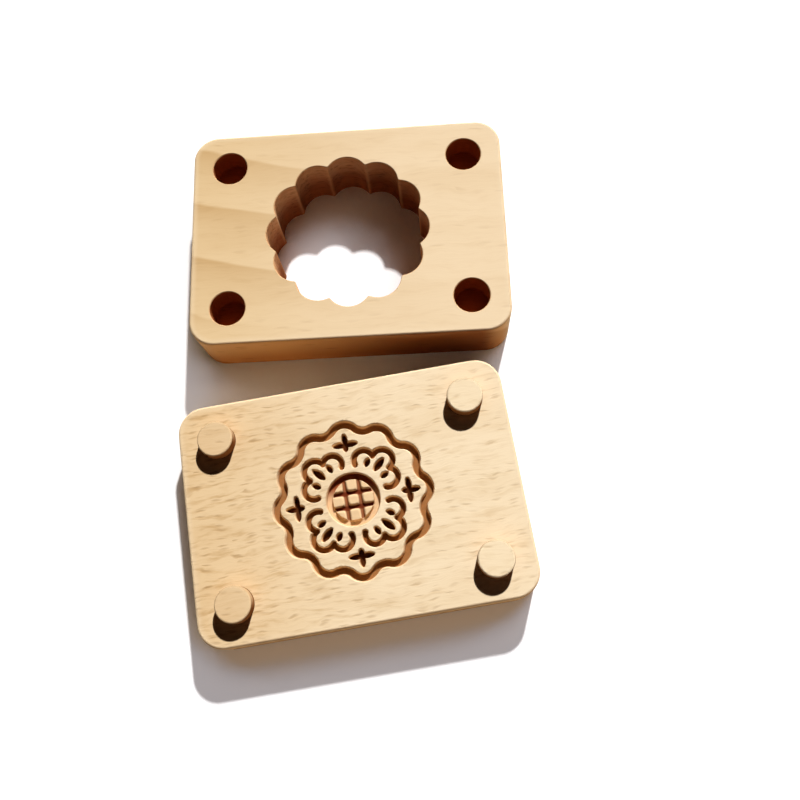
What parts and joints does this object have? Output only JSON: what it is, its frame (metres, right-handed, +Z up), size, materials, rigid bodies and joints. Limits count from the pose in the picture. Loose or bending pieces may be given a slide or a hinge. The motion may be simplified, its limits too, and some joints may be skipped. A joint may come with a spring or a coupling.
{
  "type": "mooncake mold",
  "caption": "Two-part wooden mooncake mold: a pegged board with a carved flower pattern and a loose block with a fluted through cavity and peg sockets.",
  "frame": {"origin": "middle of the pattern board's underside", "axes": "+X along the board's long side, +Y from the board to the block that lies behind it, +Z up out of the carved face"},
  "size_m": [0.1148, 0.1619, 0.019],
  "materials": {
    "board_wood": "sanded, flecked",
    "block_wood": "sanded, oiled",
    "peg_wood": "sanded end grain"
  },
  "bodies": {
    "board": {"pattern_board": "board_wood", "peg_front_left": "peg_wood", "peg_front_right": "peg_wood", "peg_rear_left": "peg_wood", "peg_rear_right": "peg_wood"},
    "block": {"cavity_block": "block_wood"}
  },
  "joints": [
    {"name": "block_lift", "type": "slide", "parent": "board", "child": "block", "axis": [0, 0, 1], "range_m": [0, 0.06]}
  ]
}
